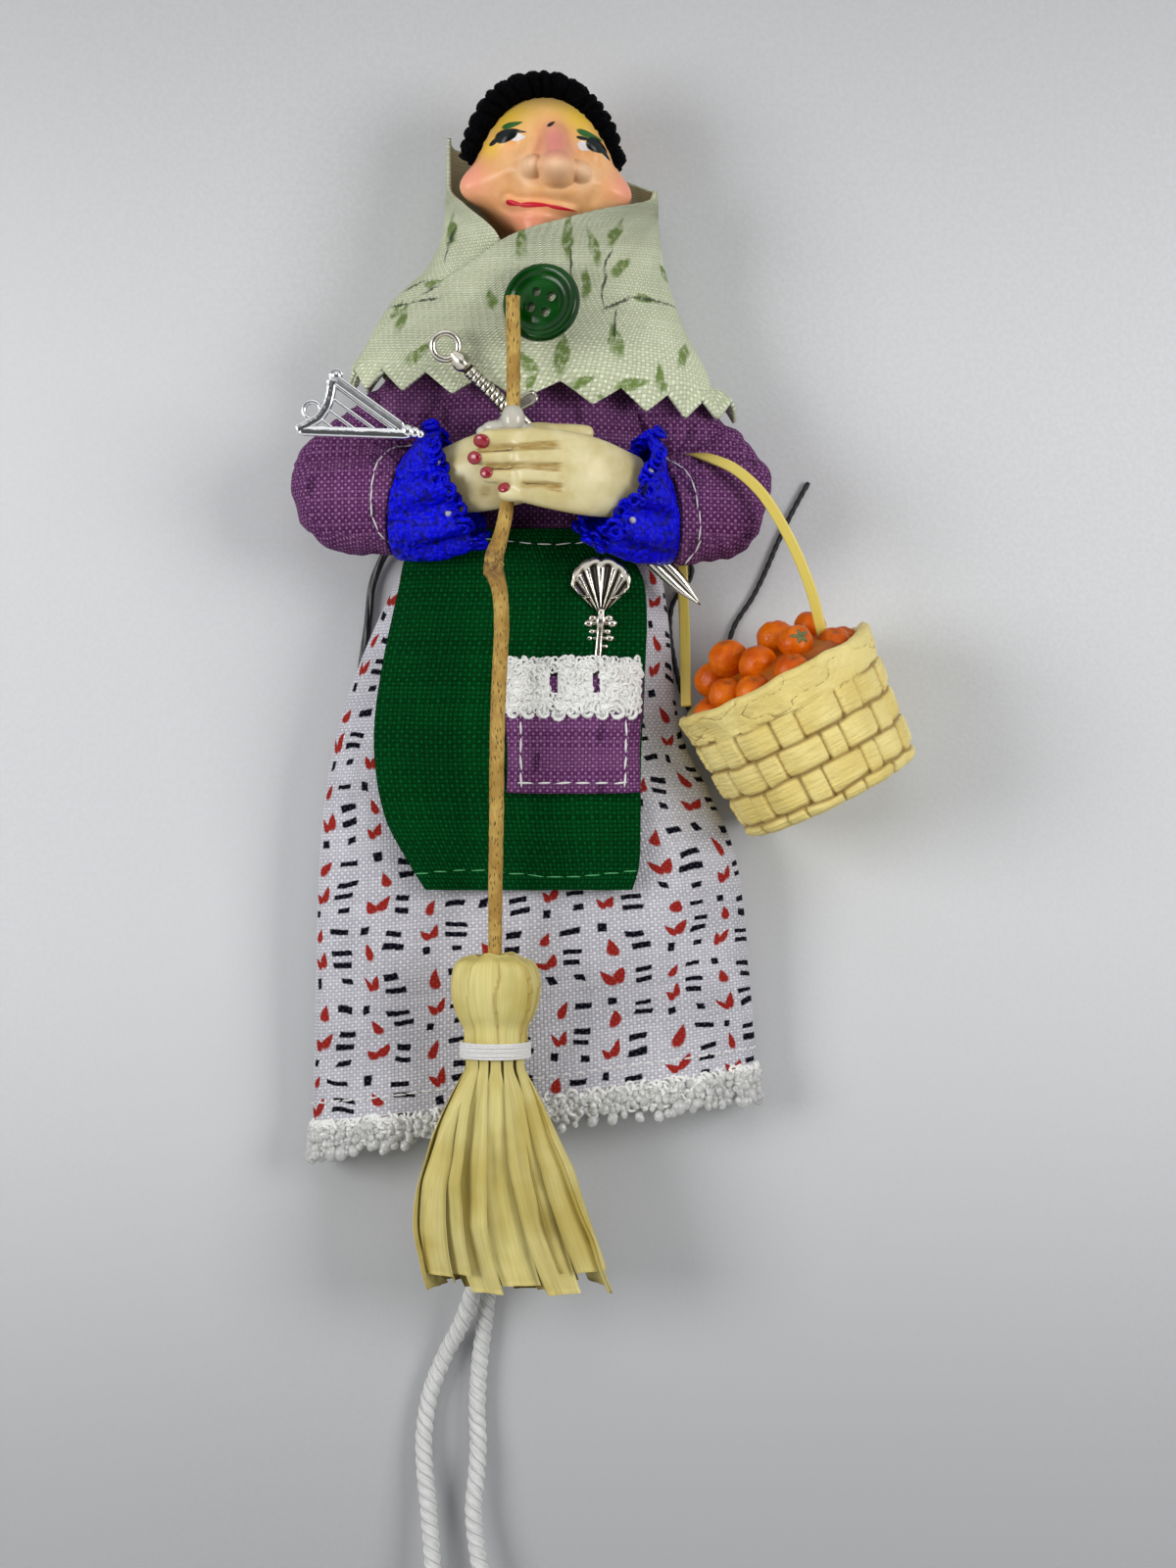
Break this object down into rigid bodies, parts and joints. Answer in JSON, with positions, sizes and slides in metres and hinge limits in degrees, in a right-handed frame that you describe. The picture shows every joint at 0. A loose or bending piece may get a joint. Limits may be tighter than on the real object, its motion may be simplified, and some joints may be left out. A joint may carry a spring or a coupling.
{
  "type": "hanging peasant doll",
  "caption": "Small hanging doll in headscarf, apron and printed skirt, holding a broom, with a basket of fruit on its arm and cord legs.",
  "frame": {"origin": "on the flat back of the skirt, under the top of the apron, where the doll lies on a table", "axes": "+Z out of the doll's front, +Y from the skirt towards the head, +X towards the basket"},
  "size_m": [0.093, 0.2433, 0.0346],
  "materials": {
    "purple_cloth": "purple twill",
    "resin": "ivory resin with brown grooves",
    "painted_skin": "painted and glossy",
    "white_cotton": "twisted cotton",
    "black_cotton": "black cord",
    "raffia": "creased straw strips",
    "silver": "antique silver",
    "bright_metal": "bright plated metal",
    "blue_lace": "blue crochet lace",
    "white_lace": "white crochet lace",
    "green_canvas": "coarse green canvas",
    "green_button": "glossy green",
    "scarf_cloth": "pale green basket weave with sprigs",
    "skirt_cloth": "grey-white twill with a small print",
    "fruit_skin": "orange resin",
    "cream_resin": "cream cast resin with a woven relief",
    "yellow_strip": "yellow flat strip",
    "twig": "dry twig",
    "glue": "cloudy glue",
    "shoe_resin": "dark brown resin",
    "stuffing": "plain white body cloth",
    "wire": "plain wire"
  },
  "bodies": {
    "doll": {"torso_core": "stuffing", "neck_peg": "twig", "head": "painted_skin", "hair_trim": "black_cotton", "headscarf": "scarf_cloth", "scarf_button": "green_button", "bodice": "purple_cloth", "left_sleeve": "purple_cloth", "right_sleeve": "purple_cloth", "left_arm_wire": "wire", "right_arm_wire": "wire", "left_cuff": "blue_lace", "right_cuff": "blue_lace", "front_hand": "resin", "rear_hand": "resin", "glue_dab": "glue", "broom_stick": "twig", "broom_head": "raffia", "broom_binding": "white_cotton", "sword_charm": "silver", "harp_charm": "bright_metal", "shell_charm": "silver", "skirt": "skirt_cloth", "skirt_hem_lace": "white_lace", "apron": "green_canvas", "apron_pocket": "purple_cloth", "pocket_lace": "white_lace", "hanging_cord": "black_cotton", "waist_strand": "black_cotton"},
    "basket": {"basket": "cream_resin", "basket_handle": "yellow_strip", "fruit_bed": "fruit_skin", "fruit_1": "fruit_skin", "fruit_2": "fruit_skin", "fruit_3": "fruit_skin", "fruit_4": "fruit_skin", "fruit_5": "fruit_skin", "fruit_6": "fruit_skin"},
    "left_leg": {"left_leg_cord": "white_cotton", "left_shoe": "shoe_resin"},
    "right_leg": {"right_leg_cord": "white_cotton", "right_shoe": "shoe_resin"}
  },
  "joints": [
    {"name": "basket_swing", "type": "hinge", "parent": "doll", "child": "basket", "pos_m": [0.0222, 0.0258, 0.012], "axis": [0, 0, 1], "range_deg": [0, 12]},
    {"name": "left_leg_swing", "type": "hinge", "parent": "doll", "child": "left_leg", "pos_m": [-0.006, -0.0253, 0.008], "axis": [0, 0, 1], "range_deg": [-8, 0]},
    {"name": "right_leg_swing", "type": "hinge", "parent": "doll", "child": "right_leg", "pos_m": [-0.0016, -0.0253, 0.008], "axis": [0, 0, 1], "range_deg": [0, 8]}
  ]
}
